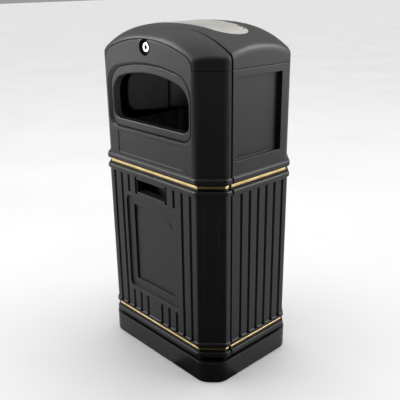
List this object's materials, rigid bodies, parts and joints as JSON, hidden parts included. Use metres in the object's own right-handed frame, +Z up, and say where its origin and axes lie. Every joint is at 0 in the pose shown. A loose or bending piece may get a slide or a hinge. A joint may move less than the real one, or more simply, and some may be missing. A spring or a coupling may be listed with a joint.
{
  "type": "hooded litter bin with ashtray",
  "caption": "Free-standing hooded litter bin with front aperture, locked front door, metal liner and an ashtray plate on the domed top.",
  "frame": {"origin": "on the ground, under the middle of the bin's outline", "axes": "+Z up, +X to the right of someone who faces the aperture, -Y out of the front"},
  "size_m": [0.6675, 0.484, 1.2994],
  "materials": {
    "moulded_black": "charcoal black, fine moulded texture, satin",
    "gold_strip": "gold anodised, satin",
    "stainless_plate": "satin stainless",
    "galvanised_steel": "hot-dip galvanised",
    "zinc_fixings": "bright zinc plated",
    "black_hinge": "black powder coat",
    "chromed_lock": "polished",
    "lock_cam_steel": "plated",
    "concrete": "cast concrete",
    "buffer_rubber": "matt",
    "nylon": "matt"
  },
  "bodies": {
    "casing": {"plinth": "moulded_black", "ballast_slab": "concrete", "floor_plate": "galvanised_steel", "body_washers": "zinc_fixings", "body_bolts": "zinc_fixings", "liner_blocks": "nylon", "rear_shell": "moulded_black", "upper_strip_rear": "gold_strip", "lower_strip_rear": "gold_strip", "hinge_frame_leaves": "black_hinge", "hinge_pins": "black_hinge", "hinge_frame_screws": "zinc_fixings", "door_buffers": "buffer_rubber", "lock_strike": "galvanised_steel", "strike_screws": "zinc_fixings", "stubber_plate": "stainless_plate", "plate_screws": "stainless_plate", "container_rails": "galvanised_steel", "rail_screws": "zinc_fixings"},
    "door": {"front_door": "moulded_black", "upper_strip_door": "gold_strip", "lower_strip_door": "gold_strip", "aperture_surround": "moulded_black", "surround_screws": "zinc_fixings", "notice_plate": "moulded_black", "lock_housing": "chromed_lock", "lock_nut": "zinc_fixings", "hinge_door_leaves": "black_hinge", "hinge_door_screws": "zinc_fixings"},
    "lock": {"lock_barrel": "chromed_lock", "lock_cam": "lock_cam_steel", "cam_screw": "zinc_fixings"},
    "liner": {"liner": "galvanised_steel", "handle_brackets": "galvanised_steel", "bracket_rivets": "zinc_fixings"},
    "left_handle": {"liner_handle_left": "galvanised_steel"},
    "right_handle": {"liner_handle_right": "galvanised_steel"},
    "ash_container": {"ash_container": "stainless_plate"}
  },
  "joints": [
    {"name": "door_swing", "type": "hinge", "parent": "casing", "child": "door", "pos_m": [-0.332, -0.1365, 0.64], "axis": [0, 0, -1], "range_deg": [0, 110]},
    {"name": "lock_turn", "type": "hinge", "parent": "door", "child": "lock", "pos_m": [0, -0.21, 1.2255], "axis": [0, -1, 0], "range_deg": [0, 90]},
    {"name": "liner_lift", "type": "slide", "parent": "casing", "child": "liner", "axis": [0, 0, 1], "range_m": [0, 0.03]},
    {"name": "left_handle_fold", "type": "hinge", "parent": "liner", "child": "left_handle", "pos_m": [-0.2485, 0, 0.904], "axis": [0, -1, 0], "range_deg": [0, 90]},
    {"name": "right_handle_fold", "type": "hinge", "parent": "liner", "child": "right_handle", "pos_m": [0.2485, 0, 0.904], "axis": [0, 1, 0], "range_deg": [0, 90]},
    {"name": "ash_container_slide", "type": "slide", "parent": "casing", "child": "ash_container", "axis": [0, -1, 0], "range_m": [0, 0.08]}
  ]
}
